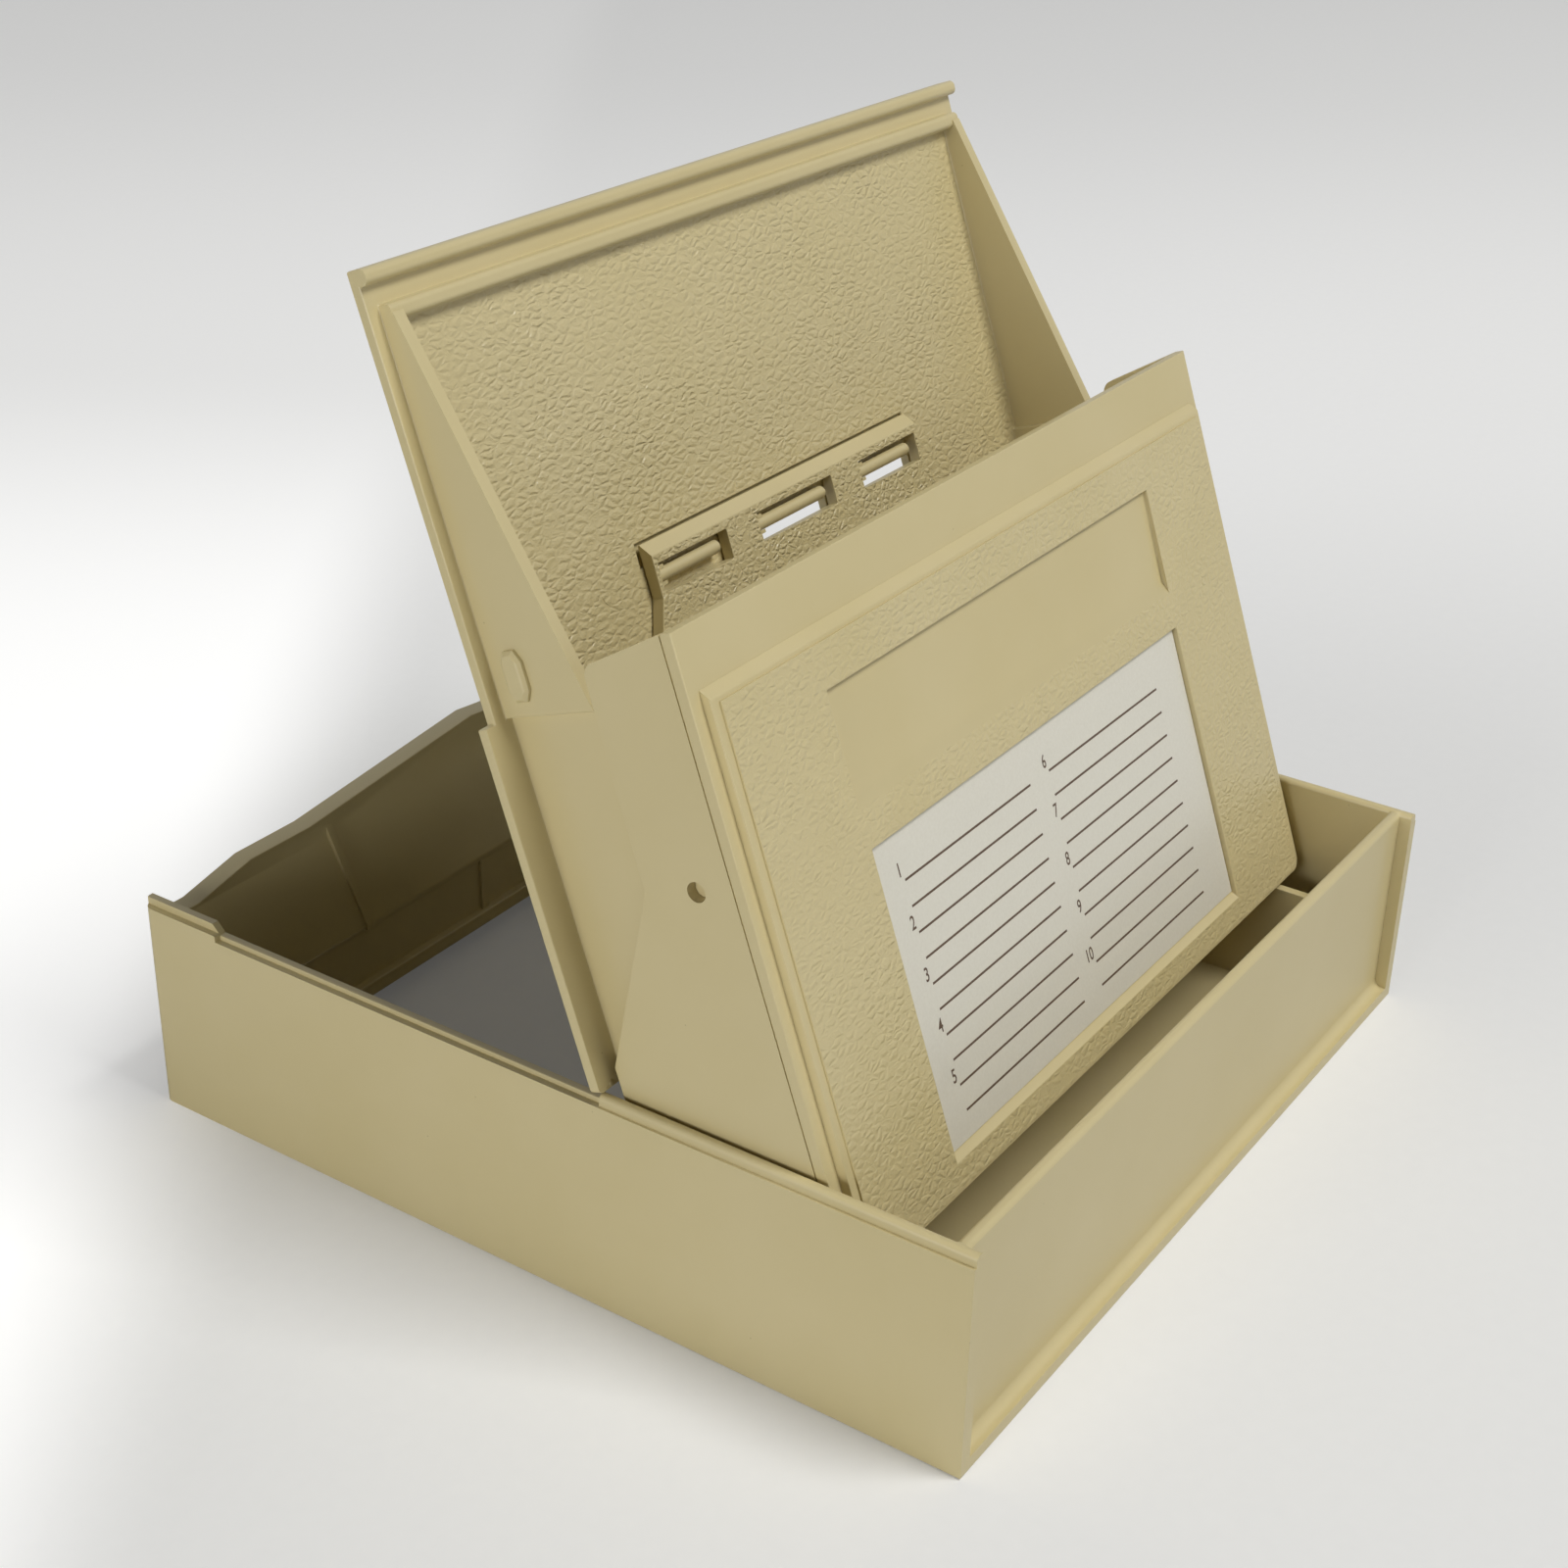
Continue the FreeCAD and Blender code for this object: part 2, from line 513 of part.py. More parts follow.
# An ear beside each slot of the support plate for its hinge pin, and windows behind the
# middle and the right slot
SLOT_PLACE = "(dim.plate_head_width / 2 - dim.slot_edge - dim.side_slot_width / 2)"
SLOT_FOOT = "(dim.plate_top_height - dim.slot_foot_drop)"
HINGE_HEIGHT = "(dim.plate_top_height - dim.hinge_pin_drop)"
SLOTS = (("left", f"-{SLOT_PLACE}", "dim.side_slot_width"),
         ("middle", "0", "dim.middle_slot_width"),
         ("right", SLOT_PLACE, "dim.side_slot_width"))
for side, middle, width in SLOTS:
    start = f"({middle} - {width} / 2)"
    ear_start = f"({start} + dim.ear_gap)"
    if side != "left":
        window = new_sketch(cover, "XZ_Plane", f"{side}_window_front_view")
        rectangle(window, f"{ear_start} + dim.ear_thickness + dim.ear_gap", f"{middle} + {width} / 2",
                  f"{SLOT_FOOT} - dim.window_drop", f"{SLOT_FOOT} - dim.window_drop + dim.window_height")
        pocket(cover, window, f"{side}_window", "dim.cover_plate * 2", both_ways=True)
    ear = new_sketch(cover, "YZ_Plane", f"{side}_ear_side_view", ear_start)
    rectangle(ear, "-dim.ear_depth", "dim.cover_plate / 2",
              f"{HINGE_HEIGHT} - dim.ear_height / 2", f"{HINGE_HEIGHT} + dim.ear_height / 2")
    pad(cover, ear, f"{side}_ear", "dim.ear_thickness")
    bore = new_sketch(cover, "YZ_Plane", f"{side}_bore_side_view", f"{ear_start} - dim.ear_gap / 2")
    ring(bore, "-dim.plate_gap - dim.plate_thickness / 2", HINGE_HEIGHT,
         "dim.hinge_pin_diameter + dim.hinge_clearance")
    pocket(cover, bore, f"{side}_bore", "dim.ear_thickness + dim.ear_gap", reverse=True)


# Front bin: drawn around its pivot
front = new_body("front_bin")
stand(front, "dim.pivot_depth", "dim.pivot_height")
FACE = "dim.bin_face_depth"
PLATE_BACK = "(dim.bin_face_depth - dim.bin_plate)"
BOTTOM = "(-dim.bin_bottom_drop)"
face_view = new_sketch(front, "XZ_Plane", "bin_front_view", PLATE_BACK)
rectangle(face_view, f"-{BIN_SIDE_FACE}", BIN_SIDE_FACE, BOTTOM, "dim.bin_top_rise")
pad(front, face_view, "bin_front", "dim.bin_plate")
RIM_HALF = f"({BIN_SIDE_FACE} - dim.rim_margin)"
RIM_TOP = "(dim.bin_top_rise - dim.rim_top_margin)"
rim_view = new_sketch(front, "XZ_Plane", "rim_front_view", PLATE_BACK)
rectangle(rim_view, f"-{RIM_HALF}", RIM_HALF, BOTTOM, RIM_TOP)
pad(front, rim_view, "raised_rim", "dim.bin_plate + dim.rim_proud")
PANEL_HALF = f"({BIN_SIDE_FACE} - dim.panel_margin)"
PANEL_TOP = "(dim.bin_top_rise - dim.panel_top_margin)"
panel_view = new_sketch(front, "XZ_Plane", "panel_front_view", PLATE_BACK)
rectangle(panel_view, f"-{PANEL_HALF}", PANEL_HALF, f"{BOTTOM} + dim.bin_corner_radius / 4", PANEL_TOP)
pad(front, panel_view, "raised_panel", "dim.bin_plate + dim.panel_proud")
dress(front, "Fillet", "bin_lower_corners", "dim.bin_corner_radius",
      lambda edge: runs_along(edge, 1) and near(edge.BoundBox.ZMin, BOTTOM))
dress(front, "Chamfer", "rim_top_bevel", "dim.rim_bevel",
      lambda edge: runs_along(edge, 0) and near(edge.BoundBox.ZMax, RIM_TOP)
      and near(edge.BoundBox.YMax, "-dim.bin_face_depth - dim.rim_proud"))

side_view = new_sketch(front, "YZ_Plane", "bin_side_view", BIN_SIDE_BACK)
KNEE_Z = f"({BOTTOM} + dim.bin_floor_rise)"
HEEL_Z = f"({BOTTOM} - dim.bin_floor_drop)"
outline(side_view, [
    (f"-{PLATE_BACK}", "dim.bin_top_rise"),
    ("dim.bin_waist - 1", "dim.bin_top_rise - dim.bin_top_drop"),
    ("dim.bin_waist", "0"),
    ("dim.bin_back_depth", "-dim.bin_back_drop"),
    ("dim.bin_back_depth", HEEL_Z),
    ("dim.bin_floor_knee", KNEE_Z),
    (f"-{PLATE_BACK}", KNEE_Z)])
pad(front, side_view, "bin_side_panel", "dim.bin_side")
seam = new_sketch(front, "YZ_Plane", "bin_seam_side_view", f"{BIN_SIDE_FACE} - dim.seam_depth")
rectangle(seam, "-dim.seam_place - dim.seam_width / 2", "-dim.seam_place + dim.seam_width / 2",
          f"{BOTTOM} - dim.seam_width", "dim.bin_top_rise + dim.seam_width")
pocket(front, seam, "bin_seam", "dim.seam_depth * 2", reverse=True)
boss = new_sketch(front, "YZ_Plane", "bin_boss_side_view", f"{ARM_FACE} + dim.hinge_clearance * 2")
ring(boss, "0", "0", "dim.pivot_pin_diameter * 2 + dim.pivot_clearance")
pad(front, boss, "bin_boss", f"{BIN_SIDE_BACK} - {ARM_FACE} - dim.hinge_clearance * 2 + dim.bin_side / 2")
mirror(front, [doc.getObject(name) for name in ("bin_side_panel", "bin_seam", "bin_boss")], "other_bin_side")
hole = new_sketch(front, "YZ_Plane", "pivot_hole_side_view")
ring(hole, "0", "0", "dim.pivot_pin_diameter + dim.pivot_clearance")
pocket(front, hole, "pivot_holes", "dim.base_width", both_ways=True)

tray = new_sketch(front, "YZ_Plane", "bin_floor_side_view")
outline(tray, [
    (f"-{PLATE_BACK}", KNEE_Z),
    ("dim.bin_floor_knee", KNEE_Z),
    ("dim.bin_back_depth", HEEL_Z),
    ("dim.bin_back_depth", "-dim.bin_back_drop"),
    ("dim.bin_back_depth - dim.bin_web", "-dim.bin_back_drop"),
    ("dim.bin_back_depth - dim.bin_web", f"{HEEL_Z} + dim.bin_web * 1.9"),
    ("dim.bin_floor_knee - dim.bin_web * 0.3", f"{KNEE_Z} + dim.bin_web"),
    (f"-{PLATE_BACK}", f"{KNEE_Z} + dim.bin_web")])
pad(front, tray, "bin_floor", f"2 * {BIN_SIDE_BACK} + dim.bin_side", both_ways=True)
dress(front, "Fillet", "bin_top_corners", "dim.bin_corner_radius",
      lambda edge: runs_along(edge, 0) and near(edge.BoundBox.ZMax, "dim.bin_top_rise - dim.bin_top_drop"))

PANEL_FACE = "(-dim.bin_face_depth - dim.panel_proud)"
for recess in ("name_recess", "label_recess"):
    top = f"({PANEL_TOP} - dim.{recess}_top)"
    low = f"({top} - dim.{recess}_height)"
    view = new_sketch(front, "YZ_Plane", f"{recess}_side_view")
    outline(view, [
        (f"{PANEL_FACE} - 1", top),
        (f"{PANEL_FACE} + dim.{recess}_depth", top),
        (f"{PANEL_FACE} + dim.{recess}_depth", f"{low} + dim.{recess}_bevel"),
        (PANEL_FACE, low),
        (f"{PANEL_FACE} - 1", low)])
    pocket(front, view, recess, f"dim.{recess}_width", both_ways=True)


# Index card lying in the lower recess
card = new_body("index_card")
stand(card, "dim.pivot_depth", "dim.pivot_height")
CARD_TOP = f"({PANEL_TOP} - dim.label_recess_top - dim.card_clearance)"
card_view = new_sketch(card, "XZ_Plane", "card_front_view",
                       "dim.bin_face_depth + dim.panel_proud - dim.label_recess_depth")
CARD_HALF = "(dim.label_recess_width / 2 - dim.card_clearance)"
rectangle(card_view, f"-{CARD_HALF}", CARD_HALF,
          f"{CARD_TOP} + 2 * dim.card_clearance - dim.label_recess_height + dim.label_recess_bevel", CARD_TOP)
pad(card, card_view, "card", "dim.card_thickness")


# Support plate: hangs in front of the cover on three pins, one in each of its slots
support = new_body("support_plate")
stand(support)
HEAD = "(dim.plate_head_width / 2)"
SHOULDER = "(dim.plate_top_height - dim.plate_shoulder_drop)"
HEM = f"({SHOULDER} - dim.plate_flare_drop)"
body_view = new_sketch(support, "XZ_Plane", "support_front_view", "dim.plate_gap")
outline(body_view, [
    (f"-{HEAD}", "dim.plate_top_height"), (f"-{HEAD}", SHOULDER),
    (f"-{HEAD} - dim.plate_flare", HEM), (f"-{HEAD} - dim.plate_flare", f"{HEM} - dim.plate_tail"),
    (f"{HEAD} + dim.plate_flare", f"{HEM} - dim.plate_tail"), (f"{HEAD} + dim.plate_flare", HEM),
    (HEAD, SHOULDER), (HEAD, "dim.plate_top_height")])
pad(support, body_view, "support_plate_pad", "dim.plate_thickness")
dress(support, "Chamfer", "support_bevel", "dim.plate_bevel",
      lambda edge: runs_along(edge, 0) and near(edge.BoundBox.ZMax, "dim.plate_top_height")
      and near(edge.BoundBox.YMax, "-dim.plate_gap - dim.plate_thickness"))
for side, middle, width in SLOTS:
    slot = new_sketch(support, "XZ_Plane", f"{side}_slot_front_view")
    rectangle(slot, f"{middle} - {width} / 2", f"{middle} + {width} / 2",
              SLOT_FOOT, f"{SLOT_FOOT} + dim.slot_height")
    pocket(support, slot, f"{side}_slot", "dim.plate_thickness * 4", both_ways=True)
    hinge = new_sketch(support, "YZ_Plane", f"{side}_hinge_pin_side_view",
                       f"{middle} - {width} / 2 - dim.hinge_pin_short / 4")
    ring(hinge, "-dim.plate_gap - dim.plate_thickness / 2", HINGE_HEIGHT,
         "dim.hinge_pin_diameter")
    pad(support, hinge, f"{side}_hinge_pin", f"{width} - dim.hinge_pin_short * 0.75")
dress(support, "Fillet", "hinge_pin_ends", "dim.hinge_pin_diameter * 0.3",
      lambda edge: isinstance(edge.Curve, Part.Circle)
      and near(edge.Curve.Radius, "dim.hinge_pin_diameter / 2") and edge.Closed)


# Check every object, then write one file for each piece
doc.recompute()
for item in doc.Objects:
    if {"Invalid", "Error"} & set(item.State):
        raise RuntimeError(f"{item.Label} did not build: {item.State}")
os.makedirs("parts", exist_ok=True)
for body in (base, cover, front, card, support):
    if body.Shape.isNull() or not body.Shape.isValid() or len(body.Shape.Solids) != 1:
        raise RuntimeError(f"{body.Label} is not one sound solid")
    body.Shape.exportStep(f"parts/{body.Label}.step")
    print(body.Label, round(body.Shape.Volume), body.Shape.BoundBox)
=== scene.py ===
# %% [markdown]
# # A floppy disk storage box, standing open
# The object is a moulded plastic box for flat disks. A tray stands on the table.
# A leaning cover stands in the tray, a bin with a framed front panel hangs on the
# cover, an index card lies in the panel, and a small plate swings on the cover.
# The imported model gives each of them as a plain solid. This lesson turns them into
# soft-edged mouldings with their real finishes, adds the fine printed and moulded
# details, and sets them on a pale table under soft light.

import json
import math

import bmesh
import bpy
from mathutils import Euler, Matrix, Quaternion, Vector
from mathutils.bvhtree import BVHTree
from mathutils.geometry import intersect_point_line

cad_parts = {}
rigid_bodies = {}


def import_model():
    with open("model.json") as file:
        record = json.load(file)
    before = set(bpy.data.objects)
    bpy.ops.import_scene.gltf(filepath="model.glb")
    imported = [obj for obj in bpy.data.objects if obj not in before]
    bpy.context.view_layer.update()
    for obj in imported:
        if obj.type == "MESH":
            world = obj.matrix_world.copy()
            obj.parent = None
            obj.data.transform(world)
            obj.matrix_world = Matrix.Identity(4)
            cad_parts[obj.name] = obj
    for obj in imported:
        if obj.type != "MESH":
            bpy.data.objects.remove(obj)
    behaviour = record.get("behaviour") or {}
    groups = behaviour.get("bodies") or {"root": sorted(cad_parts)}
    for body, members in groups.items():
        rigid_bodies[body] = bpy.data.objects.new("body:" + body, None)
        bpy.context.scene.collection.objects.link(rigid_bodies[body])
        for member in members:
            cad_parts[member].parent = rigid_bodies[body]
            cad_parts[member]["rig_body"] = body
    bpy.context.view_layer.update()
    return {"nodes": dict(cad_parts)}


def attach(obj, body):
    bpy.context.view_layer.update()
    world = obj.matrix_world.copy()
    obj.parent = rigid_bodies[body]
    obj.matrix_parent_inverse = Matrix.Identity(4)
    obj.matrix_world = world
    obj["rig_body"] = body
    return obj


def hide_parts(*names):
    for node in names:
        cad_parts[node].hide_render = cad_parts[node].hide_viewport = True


for thing in list(bpy.data.objects):
    bpy.data.objects.remove(thing)
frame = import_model()

# %% [markdown]
# ## Colours and shader nodes
# Plastic swatches are usually noted as hex sRGB values, while shaders work with
# linear light, so one function converts them. A second helper adds a shader node
# with its settings and its links. Three more add the commonest ones: a step of
# arithmetic, a blend of two colours and a smooth change from one value to another.

# %% Helpers for colour and shader nodes
MM = 0.001


def colour(code):
    """A hex sRGB colour as linear RGBA."""
    parts = [int(code[i : i + 2], 16) / 255 for i in (1, 3, 5)]
    return (*[c / 12.92 if c <= 0.04045 else ((c + 0.055) / 1.055) ** 2.4 for c in parts], 1)


def add(tree, kind, settings=None, **inputs):
    """Adds a shader node. Inputs are values, or outputs of other nodes."""
    made = tree.nodes.new("ShaderNode" + kind)
    for name, value in (settings or {}).items():
        setattr(made, name, value)
    for name, value in inputs.items():
        key = int(name[1:]) if name[1:].isdigit() else name.replace("_", " ")
        if isinstance(value, bpy.types.NodeSocket):
            tree.links.new(value, made.inputs[key])
        else:
            made.inputs[key].default_value = value
    return made


def maths(tree, operation, first, second):
    """The result of one step of arithmetic on two values."""
    return add(tree, "Math", {"operation": operation}, i0=first, i1=second).outputs[0]


def blend(tree, share, first, second):
    """A colour between two hex colours, by a share from 0 to 1."""
    made = add(tree, "Mix", {"data_type": "RGBA"}, Factor=share)
    made.inputs["A"].default_value = colour(first)
    made.inputs["B"].default_value = colour(second)
    return made.outputs["Result"]


def smooth_step(tree, value, start, end, low, high):
    """A smooth change from low to high while the value goes from start to end."""
    settings = {"interpolation_type": "SMOOTHSTEP"}
    stretch = {"From_Min": start, "From_Max": end, "To_Min": low, "To_Max": high}
    return add(tree, "MapRange", settings, Value=value, **stretch).outputs[0]


def blank(name):
    """A new material with only its output node."""
    made = bpy.data.materials.new(name)
    made.use_nodes = True
    made.node_tree.nodes.clear()
    return made, made.node_tree, made.node_tree.nodes.new("ShaderNodeOutputMaterial")


print("mid beige in linear light:", [round(c, 3) for c in colour("#CBBF93")])

# %% [markdown]
# ## The leaning frame of the panels
# The cover, its plate and the bin's front all lean back by the same 19.7 degrees.
# Their grain and their small details follow that slope, so places on them are easiest
# to give as x, a distance up the slope, and a distance out of the face. One function
# turns such a place into the model's own x, y, z. A Mapping node with the same turn
# does it for the textures.

# %% Places on the leaning faces
LEAN = math.radians(19.7)
COVER_SEAT = Vector((0, -16.99, 41.7)) * MM
BIN_PIVOT = Vector((0, -32.84, 81.683)) * MM


def slope(origin, x, up, out):
    """A place in mm on a leaning face as a point in metres."""
    return origin + MM * Vector(
        (x, up * math.sin(LEAN) - out * math.cos(LEAN), up * math.cos(LEAN) + out * math.sin(LEAN))
    )


def unslope(origin, point):
    """The same place back again, as (x, up, out) in mm."""
    d = (point - origin) / MM
    return (
        d.x,
        d.y * math.sin(LEAN) + d.z * math.cos(LEAN),
        -d.y * math.cos(LEAN) + d.z * math.sin(LEAN),
    )


print("cover top edge at", [round(c / MM, 1) for c in slope(COVER_SEAT, 0, 128.3, 0)])

# %% [markdown]
# ## Moulded beige plastic
# All four mouldings are the same cream-beige polystyrene. Its shine is soft, because the
# mould was sand-blasted: roughness near 0.34 and an index of refraction of 1.59. Three
# things keep it from looking like flat paint: a cloudy tone over a few centimetres, tiny
# dark specks of dust, and a very shallow ripple. The grained faces use the same plastic
# with a stronger relief. The grain is a Voronoi pattern, stretched sideways and bent by a
# noise, whose cell borders become the creases of a leather-like skin. A second layer of
# the same pattern, half as wide and much shallower, breaks up the tops of its pebbles.

# %% Beige plastic with an optional leather grain
BEIGE, BEIGE_DEEP, DUST = "#CEC094", "#C5B684", "#6E6043"
CLOUD, DUST_GAP, RIPPLE, PATCH = 28 * MM, 7.5 * MM, 0.45 * MM, 19 * MM
GRAIN_LAYERS = ((1.0, 1.0), (0.45, 0.22))


def leather(t, place, surface, pebble, relief, waver):
    """Adds the grain to a surface, in a coarse layer and a fine one."""
    leaned = add(t, "Mapping", Vector=place, Rotation=(LEAN, 0, 0)).outputs[0]
    patch = add(t, "TexNoise", Vector=place, Scale=1 / PATCH, Detail=2.0).outputs["Fac"]
    faint = add(t, "MapRange", Value=patch, From_Min=0.35, From_Max=0.65, To_Min=0.65, To_Max=1.0)
    for wide, share in GRAIN_LAYERS:
        across, up = pebble[0] * wide * MM, pebble[1] * wide * MM
        wave = add(t, "TexNoise", Vector=leaned, Scale=1 / (across * 1.3), Detail=2.0).outputs["Color"]
        shift = add(t, "VectorMath", {"operation": "SUBTRACT"}, i0=wave, i1=(0.5, 0.5, 0.5)).outputs[0]
        shift = add(t, "VectorMath", {"operation": "SCALE"}, i0=shift, Scale=waver * across).outputs[0]
        bent = add(t, "VectorMath", {"operation": "ADD"}, i0=leaned, i1=shift).outputs[0]
        cells = add(t, "Mapping", Vector=bent, Scale=(1 / across, 1 / across, 1 / up)).outputs[0]
        crease = add(t, "TexVoronoi", {"feature": "DISTANCE_TO_EDGE"}, Vector=cells, Scale=1.0)
        pillow = smooth_step(t, crease.outputs["Distance"], 0.0, 0.34, 0.0, 1.0)
        height = maths(t, "MULTIPLY", pillow, faint.outputs[0])
        depth = relief * share * MM
        surface = add(t, "Bump", Height=height, Normal=surface, Strength=1.0, Distance=depth).outputs[0]
    return surface


def beige_plastic(name, pebble=None, relief=0.0, waver=0.6):
    """Cream plastic. Pebble is (sideways mm, up-slope mm) of one grain cell, relief its depth in mm."""
    made, t, out = blank(name)
    place = add(t, "TexCoord").outputs["Object"]
    cloud = add(t, "TexNoise", Vector=place, Scale=1 / CLOUD, Detail=3.0, Roughness=0.55)
    tone = blend(t, cloud.outputs["Fac"], BEIGE, BEIGE_DEEP)
    dots = add(t, "TexVoronoi", Vector=place, Scale=1 / DUST_GAP, Randomness=1.0)
    rare = maths(t, "LESS_THAN", dots.outputs["Distance"], 0.018)
    dusty = add(t, "Mix", {"data_type": "RGBA"}, Factor=maths(t, "MULTIPLY", rare, 0.35))
    t.links.new(tone, dusty.inputs["A"])
    dusty.inputs["B"].default_value = colour(DUST)
    ripple = add(t, "TexNoise", Vector=place, Scale=1 / RIPPLE, Detail=2.0).outputs["Fac"]
    surface = add(t, "Bump", Height=ripple, Strength=0.25, Distance=0.02 * MM).outputs[0]
    if pebble:
        surface = leather(t, place, surface, pebble, relief, waver)
    skin = {"Base_Color": dusty.outputs["Result"], "Normal": surface}
    shader = add(t, "BsdfPrincipled", Roughness=0.34, IOR=1.59, **skin)
    t.links.new(shader.outputs[0], out.inputs["Surface"])
    print(name, "made", "with grain cells of %s x %s mm" % pebble if pebble else "smooth")
    return made


smooth_plastic = beige_plastic("beige_polystyrene_satin")
cover_grain = beige_plastic("beige_polystyrene_leather_grain", (2.4, 1.25), 0.15)
plate_grain = beige_plastic("beige_polystyrene_fine_pebble_grain", (1.7, 1.15), 0.19, waver=0.5)
panel_grain = beige_plastic("beige_polystyrene_soft_grain", (2.1, 1.2), 0.11, waver=0.5)

# %% [markdown]
# ## Card and ink
# The index card is thin coated paper with a faint silvery sheen, so it is a little
# shinier than writing paper, and its fibres show only as a fine mottling. The lines and
# numbers are printed in dark brown ink, which is matt and soaks in unevenly.

# %% Card and ink
card_paper, t, out = blank("coated_silver_grey_card")
place = add(t, "TexCoord").outputs["Object"]
fibre = add(t, "TexNoise", Vector=place, Scale=1 / (0.5 * MM), Detail=4.0).outputs["Fac"]
press = add(t, "Bump", Height=fibre, Strength=0.2, Distance=0.02 * MM).outputs[0]
coated = {"Base_Color": blend(t, fibre, "#E6E3D6", "#DBD7C8"), "Normal": press}
shader = add(t, "BsdfPrincipled", Roughness=0.38, Metallic=0.15, IOR=1.5, **coated)
t.links.new(shader.outputs[0], out.inputs["Surface"])

brown_ink, t, out = blank("dark_brown_printing_ink")
place = add(t, "TexCoord").outputs["Object"]
soak = add(t, "TexNoise", Vector=place, Scale=1 / (0.6 * MM), Detail=3.0).outputs["Fac"]
shader = add(t, "BsdfPrincipled", Base_Color=blend(t, soak, "#4B382A", "#6B5644"), Roughness=0.6, IOR=1.5)
t.links.new(shader.outputs[0], out.inputs["Surface"])
print("paper and ink ready")

# %% [markdown]
# ## Working in edit mode
# Each step below selects one object alone, and opens it in edit mode. Selecting nothing
# else first is what keeps an operator from touching a piece that was made before.

# %% Helpers for operators
ops = bpy.ops


def only(piece):
    """Makes this object the only selected one, in object mode."""
    if bpy.context.object and bpy.context.object.mode != "OBJECT":
        ops.object.mode_set(mode="OBJECT")
    ops.object.select_all(action="DESELECT")
    piece.select_set(True)
    bpy.context.view_layer.objects.active = piece
    return piece


def modify(piece, kind, **settings):
    """Adds a modifier with these settings and applies it."""
    only(piece)
    step = piece.modifiers.new(kind.lower(), kind)
    for name, value in settings.items():
        setattr(step, name, value)
    ops.object.modifier_apply(modifier=step.name)
    return piece


def measured(piece):
    """Prints a piece's faces and size in mm."""
    size = [round(c / MM, 2) for c in piece.dimensions]
    print(piece.name, len(piece.data.polygons), "faces,", size, "mm")
    return piece


# %% [markdown]
# ## From CAD solid to moulding
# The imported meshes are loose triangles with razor-sharp edges. A moulding tool is cut
# with a round cutter, so a real plastic part has small radii everywhere, and these radii
# catch the thin bright lines that make it look real. A copy of each solid is merged, its
# flat triangles are joined into whole faces, and a bevel of a few tenths of a millimetre
# rounds the edges. The bevel only takes material away, so the piece stays in its box.

# %% Which edges have room for their rounding
def mark_edges(piece, radius, barred):
    """Marks the sharp edges that their corners and faces leave room to round, away from barred spots."""
    mesh = bmesh.new()
    mesh.from_mesh(piece.data)
    weight = mesh.edges.layers.float.new("bevel_weight_edge")
    sharp = {e for e in mesh.edges if e.calc_face_angle(0) > math.radians(30)}
    room = {}
    for corner in mesh.verts:
        ways = [e.other_vert(corner).co - corner.co for e in corner.link_edges if e in sharp]
        passing = len(ways) == 2 and ways[0].angle(-ways[1]) < math.radians(40)
        nearest = min(e.calc_length() for e in corner.link_edges)
        room[corner] = 1 if passing or not ways else 0.45 * min(1.5 * nearest, *[w.length for w in ways])
    for edge in sharp:
        start, end = (corner.co for corner in edge.verts)
        width = min(2 * f.calc_area() / f.calc_perimeter() for f in edge.link_faces)
        free = min(room[edge.verts[0]], room[edge.verts[1]], 0.45 * width) > 0.99 * radius * MM
        for spot in barred:
            near, share = intersect_point_line(spot, start, end)
            near = start.lerp(end, min(1, max(0, share)))
            free = free and (near - spot).length > 0.8 * MM
        edge[weight] = 1.0 if free else 0.0
    mesh.to_mesh(piece.data)
    mesh.free()


def faults(piece, skin, radius):
    """Middles of faces that left the solid's skin or were turned over."""
    found = []
    for face in piece.data.polygons:
        spot, normal, index, gap = skin.find_nearest(face.center)
        if face.area > 0.02 * MM * MM and (gap > radius * MM or normal.dot(face.normal) < -0.1):
            found.append(face.center.copy())
    return found


# %% Soft-edged copies of the CAD solids
def moulding(node, name, radius, finish=smooth_plastic):
    """A merged copy of a CAD node with its edges rounded by radius mm."""
    source = frame["nodes"][node]
    corners = [v.co for v in source.data.vertices]
    skin = BVHTree.FromPolygons(corners, [p.vertices[:] for p in source.data.polygons])
    piece = bpy.data.objects.new(name, source.data.copy())
    bpy.context.scene.collection.objects.link(piece)
    piece.data.materials.clear()
    piece.data.materials.append(finish)
    only(piece)
    ops.object.mode_set(mode="EDIT")
    ops.mesh.select_all(action="SELECT")
    ops.mesh.customdata_custom_splitnormals_clear()
    ops.mesh.remove_doubles(threshold=0.05 * MM)
    ops.mesh.dissolve_limited(angle_limit=math.radians(0.6))
    ops.mesh.normals_make_consistent(inside=False)
    ops.object.mode_set(mode="OBJECT")
    for face in piece.data.polygons:
        face.use_smooth = True
        face.material_index = 0
    plain, barred = piece.data, []
    for attempt in range(8):
        piece.data = plain.copy()
        mark_edges(piece, radius, barred)
        rounding = {"segments": 2, "limit_method": "WEIGHT", "use_clamp_overlap": False}
        modify(piece, "BEVEL", width=radius * MM, **rounding)
        modify(piece, "TRIANGULATE", quad_method="BEAUTY", ngon_method="BEAUTY")
        wrong = faults(piece, skin, radius)
        if not wrong:
            break
        barred += wrong
    print(name, "rounded in", attempt + 1, "tries,", len(wrong), "faults,", len(barred), "spots left sharp")
    piece.data.name = name
    only(piece)
    ops.object.shade_smooth_by_angle(angle=math.radians(32))
    modify(piece, "WEIGHTED_NORMAL", weight=100, keep_sharp=True)
    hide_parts(node)
    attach(piece, source["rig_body"])
    return measured(piece)


